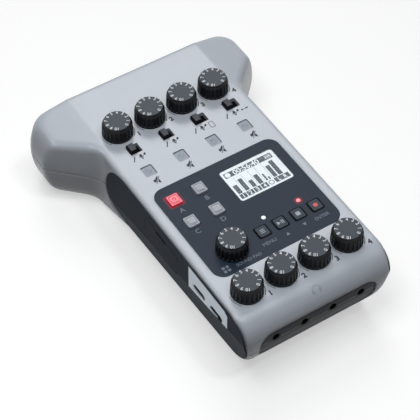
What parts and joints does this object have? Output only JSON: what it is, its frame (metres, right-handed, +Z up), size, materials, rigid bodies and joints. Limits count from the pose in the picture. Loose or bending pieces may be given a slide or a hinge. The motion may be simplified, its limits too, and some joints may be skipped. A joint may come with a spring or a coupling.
{
  "type": "podcast recorder",
  "caption": "Handheld podcast recorder with wide microphone-socket shoulders, gain and headphone volume knobs, input switches, sound pads, display and transport keys.",
  "frame": {"origin": "on the table, under the middle of the overall box", "axes": "+X to the right, +Y from the headphone end to the microphone end, +Z up"},
  "size_m": [0.1134, 0.155, 0.047],
  "materials": {
    "silver_paint": "satin silver paint on plastic",
    "dark_panel": "matte",
    "port_blue": "satin",
    "socket_steel": "stamped",
    "fascia_paint": "satin",
    "lcd_glass": "clear",
    "lcd_white": "backlit",
    "lamp_clear": "clear",
    "lamp_red": "clear",
    "dark_plastic": "matte",
    "black_plastic": "matte",
    "plated_steel": "plated",
    "board_green": "solder mask",
    "contact_gold": "plated",
    "cell_sleeve": "printed sleeve, bare of print",
    "screw_black": "black oxide",
    "rubber_foot": "matte",
    "knob_rubber": "satin",
    "key_silver": "translucent",
    "pad_grey": "matte translucent",
    "pad_lit": "lit from behind",
    "key_dark": "matte"
  },
  "bodies": {
    "case": {"top_shell": "silver_paint", "bottom_shell": "silver_paint", "left_cheek": "dark_panel", "right_cheek": "dark_panel", "port_plate": "port_blue", "usb_sockets": "socket_steel", "fascia": "fascia_paint", "display_window": "lcd_glass", "lcd_module": "lcd_white", "play_lamp": "lamp_clear", "record_lamp": "lamp_red", "potentiometers": "plated_steel", "input_switch_bodies": "plated_steel", "key_switches": "black_plastic", "main_board": "board_green", "mic_board": "board_green", "mic_socket_shells": "black_plastic", "mic_socket_inserts": "black_plastic", "mic_contacts": "contact_gold", "headphone_jacks": "black_plastic", "jack_bezel": "dark_panel", "phone_jack": "black_plastic", "power_switch_body": "plated_steel", "card_socket": "plated_steel", "adapter_socket": "black_plastic", "aa_cells": "cell_sleeve", "battery_contacts": "plated_steel", "case_screws": "screw_black", "feet": "rubber_foot"},
    "gain_knob_1": {"gain_knob_1": "knob_rubber"},
    "gain_knob_2": {"gain_knob_2": "knob_rubber"},
    "gain_knob_3": {"gain_knob_3": "knob_rubber"},
    "gain_knob_4": {"gain_knob_4": "knob_rubber"},
    "volume_knob_1": {"volume_knob_1": "knob_rubber"},
    "volume_knob_2": {"volume_knob_2": "knob_rubber"},
    "volume_knob_3": {"volume_knob_3": "knob_rubber"},
    "volume_knob_4": {"volume_knob_4": "knob_rubber"},
    "pad_volume_knob": {"pad_volume_knob": "knob_rubber"},
    "input_switch_1": {"input_switch_1": "black_plastic"},
    "input_switch_2": {"input_switch_2": "black_plastic"},
    "input_switch_3": {"input_switch_3": "black_plastic"},
    "input_switch_4": {"input_switch_4": "black_plastic"},
    "mute_key_1": {"mute_key_1": "key_silver"},
    "mute_key_2": {"mute_key_2": "key_silver"},
    "mute_key_3": {"mute_key_3": "key_silver"},
    "mute_key_4": {"mute_key_4": "key_silver"},
    "sound_pad_a": {"sound_pad_a": "pad_lit"},
    "sound_pad_b": {"sound_pad_b": "pad_grey"},
    "sound_pad_c": {"sound_pad_c": "pad_grey"},
    "sound_pad_d": {"sound_pad_d": "pad_grey"},
    "menu_key": {"menu_key": "key_dark"},
    "play_key": {"play_key": "key_dark"},
    "stop_key": {"stop_key": "key_dark"},
    "record_key": {"record_key": "key_dark"},
    "power_switch": {"power_switch": "dark_plastic"},
    "battery_door": {"battery_door": "silver_paint"},
    "adapter_cover": {"adapter_cover": "dark_panel"},
    "card_cover": {"card_cover": "dark_panel"}
  },
  "joints": [
    {"name": "gain_knob_1_turn", "type": "hinge", "parent": "case", "child": "gain_knob_1", "pos_m": [-0.0252, 0.0451, 0.0392], "axis": [0, 0, 1], "range_deg": [-150, 150]},
    {"name": "volume_knob_1_turn", "type": "hinge", "parent": "case", "child": "volume_knob_1", "pos_m": [-0.0252, -0.06, 0.0392], "axis": [0, 0, 1], "range_deg": [-150, 150]},
    {"name": "gain_knob_2_turn", "type": "hinge", "parent": "case", "child": "gain_knob_2", "pos_m": [-0.0084, 0.0451, 0.0392], "axis": [0, 0, 1], "range_deg": [-150, 150]},
    {"name": "volume_knob_2_turn", "type": "hinge", "parent": "case", "child": "volume_knob_2", "pos_m": [-0.0084, -0.06, 0.0392], "axis": [0, 0, 1], "range_deg": [-150, 150]},
    {"name": "gain_knob_3_turn", "type": "hinge", "parent": "case", "child": "gain_knob_3", "pos_m": [0.0084, 0.0451, 0.0392], "axis": [0, 0, 1], "range_deg": [-150, 150]},
    {"name": "volume_knob_3_turn", "type": "hinge", "parent": "case", "child": "volume_knob_3", "pos_m": [0.0084, -0.06, 0.0392], "axis": [0, 0, 1], "range_deg": [-150, 150]},
    {"name": "gain_knob_4_turn", "type": "hinge", "parent": "case", "child": "gain_knob_4", "pos_m": [0.0252, 0.0451, 0.0392], "axis": [0, 0, 1], "range_deg": [-150, 150]},
    {"name": "volume_knob_4_turn", "type": "hinge", "parent": "case", "child": "volume_knob_4", "pos_m": [0.0252, -0.06, 0.0392], "axis": [0, 0, 1], "range_deg": [-150, 150]},
    {"name": "pad_volume_knob_turn", "type": "hinge", "parent": "case", "child": "pad_volume_knob", "pos_m": [-0.0184, -0.03815, 0.0392], "axis": [0, 0, 1], "range_deg": [-150, 150]},
    {"name": "input_switch_1_slide", "type": "slide", "parent": "case", "child": "input_switch_1", "axis": [1, 0, 0], "range_m": [0, 0.0021]},
    {"name": "input_switch_2_slide", "type": "slide", "parent": "case", "child": "input_switch_2", "axis": [1, 0, 0], "range_m": [0, 0.0021]},
    {"name": "input_switch_3_slide", "type": "slide", "parent": "case", "child": "input_switch_3", "axis": [1, 0, 0], "range_m": [0, 0.0032]},
    {"name": "input_switch_4_slide", "type": "slide", "parent": "case", "child": "input_switch_4", "axis": [1, 0, 0], "range_m": [0, 0.0032]},
    {"name": "mute_key_1_press", "type": "slide", "parent": "case", "child": "mute_key_1", "axis": [0, 0, -1], "range_m": [0, 0.00045], "stiffness_N_per_m": 400, "springref_m": -0.0002},
    {"name": "mute_key_2_press", "type": "slide", "parent": "case", "child": "mute_key_2", "axis": [0, 0, -1], "range_m": [0, 0.00045], "stiffness_N_per_m": 400, "springref_m": -0.0002},
    {"name": "mute_key_3_press", "type": "slide", "parent": "case", "child": "mute_key_3", "axis": [0, 0, -1], "range_m": [0, 0.00045], "stiffness_N_per_m": 400, "springref_m": -0.0002},
    {"name": "mute_key_4_press", "type": "slide", "parent": "case", "child": "mute_key_4", "axis": [0, 0, -1], "range_m": [0, 0.00045], "stiffness_N_per_m": 400, "springref_m": -0.0002},
    {"name": "sound_pad_a_press", "type": "slide", "parent": "case", "child": "sound_pad_a", "axis": [0, 0, -1], "range_m": [0, 0.00045], "stiffness_N_per_m": 400, "springref_m": -0.0002},
    {"name": "sound_pad_b_press", "type": "slide", "parent": "case", "child": "sound_pad_b", "axis": [0, 0, -1], "range_m": [0, 0.00045], "stiffness_N_per_m": 400, "springref_m": -0.0002},
    {"name": "sound_pad_c_press", "type": "slide", "parent": "case", "child": "sound_pad_c", "axis": [0, 0, -1], "range_m": [0, 0.00045], "stiffness_N_per_m": 400, "springref_m": -0.0002},
    {"name": "sound_pad_d_press", "type": "slide", "parent": "case", "child": "sound_pad_d", "axis": [0, 0, -1], "range_m": [0, 0.00045], "stiffness_N_per_m": 400, "springref_m": -0.0002},
    {"name": "menu_key_press", "type": "slide", "parent": "case", "child": "menu_key", "axis": [0, 0, -1], "range_m": [0, 0.00045], "stiffness_N_per_m": 400, "springref_m": -0.0002},
    {"name": "play_key_press", "type": "slide", "parent": "case", "child": "play_key", "axis": [0, 0, -1], "range_m": [0, 0.00045], "stiffness_N_per_m": 400, "springref_m": -0.0002},
    {"name": "stop_key_press", "type": "slide", "parent": "case", "child": "stop_key", "axis": [0, 0, -1], "range_m": [0, 0.00045], "stiffness_N_per_m": 400, "springref_m": -0.0002},
    {"name": "record_key_press", "type": "slide", "parent": "case", "child": "record_key", "axis": [0, 0, -1], "range_m": [0, 0.00045], "stiffness_N_per_m": 400, "springref_m": -0.0002},
    {"name": "power_switch_slide", "type": "slide", "parent": "case", "child": "power_switch", "axis": [0, 1, 0], "range_m": [-0.002, 0.002]},
    {"name": "battery_door_slide", "type": "slide", "parent": "case", "child": "battery_door", "axis": [0, 1, 0], "range_m": [0, 0.003]},
    {"name": "adapter_cover_pull", "type": "slide", "parent": "case", "child": "adapter_cover", "axis": [-1, 0, 0], "range_m": [0, 0.01]},
    {"name": "card_cover_turn", "type": "hinge", "parent": "case", "child": "card_cover", "pos_m": [0.03645, -0.0425, 0.0236], "axis": [0, 1, 0], "range_deg": [0, 90]}
  ]
}
